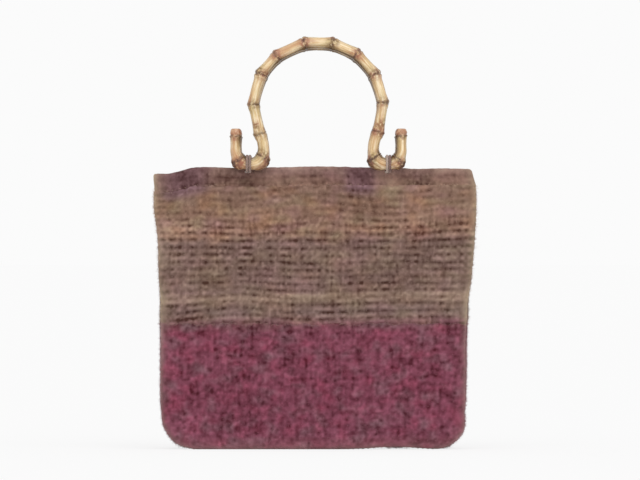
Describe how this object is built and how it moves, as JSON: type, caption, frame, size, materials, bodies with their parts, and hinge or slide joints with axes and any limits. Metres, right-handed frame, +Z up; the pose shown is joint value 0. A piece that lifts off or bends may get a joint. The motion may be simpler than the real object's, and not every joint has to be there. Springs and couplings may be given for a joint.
{
  "type": "felted tote bag",
  "caption": "Felted wool tote with rounded bottom corners, a sewn-in gusset, a doubled mouth band and swinging horseshoe bamboo handles lashed on with yarn.",
  "frame": {"origin": "middle of the base, on the surface that the bag stands on", "axes": "+X across the bag to the right, -Y towards the front, +Z up"},
  "size_m": [0.323, 0.0922, 0.4134],
  "materials": {
    "burgundy_felt": "felted looped wool, mottled burgundy",
    "brown_felt": "felted knitted wool in soft stripes of brown, tan and mauve",
    "band_felt": "smooth dense felt, purple brown",
    "seam_yarn": "wool yarn",
    "lashing_yarn": "wool yarn, purple brown",
    "bamboo": "varnished bamboo root with dark rings"
  },
  "bodies": {
    "bag": {"front_panel_lower": "burgundy_felt", "back_panel_lower": "burgundy_felt", "gusset_lower": "burgundy_felt", "front_panel_upper": "brown_felt", "back_panel_upper": "brown_felt", "gusset_left_upper": "brown_felt", "gusset_right_upper": "brown_felt", "mouth_band": "band_felt", "seam_yarn_front": "seam_yarn", "seam_yarn_back": "seam_yarn", "lashing_front_left": "lashing_yarn", "lashing_front_right": "lashing_yarn", "lashing_back_left": "lashing_yarn", "lashing_back_right": "lashing_yarn"},
    "handle_front": {"bamboo_handle_front": "bamboo"},
    "handle_back": {"bamboo_handle_back": "bamboo"}
  },
  "joints": [
    {"name": "handle_front_swing", "type": "hinge", "parent": "bag", "child": "handle_front", "pos_m": [0.004, -0.0369, 0.2857], "axis": [1, 0, 0], "range_deg": [-14, 174]},
    {"name": "handle_back_swing", "type": "hinge", "parent": "bag", "child": "handle_back", "pos_m": [0.004, 0.0369, 0.2857], "axis": [-1, 0, 0], "range_deg": [-14, 174]}
  ]
}
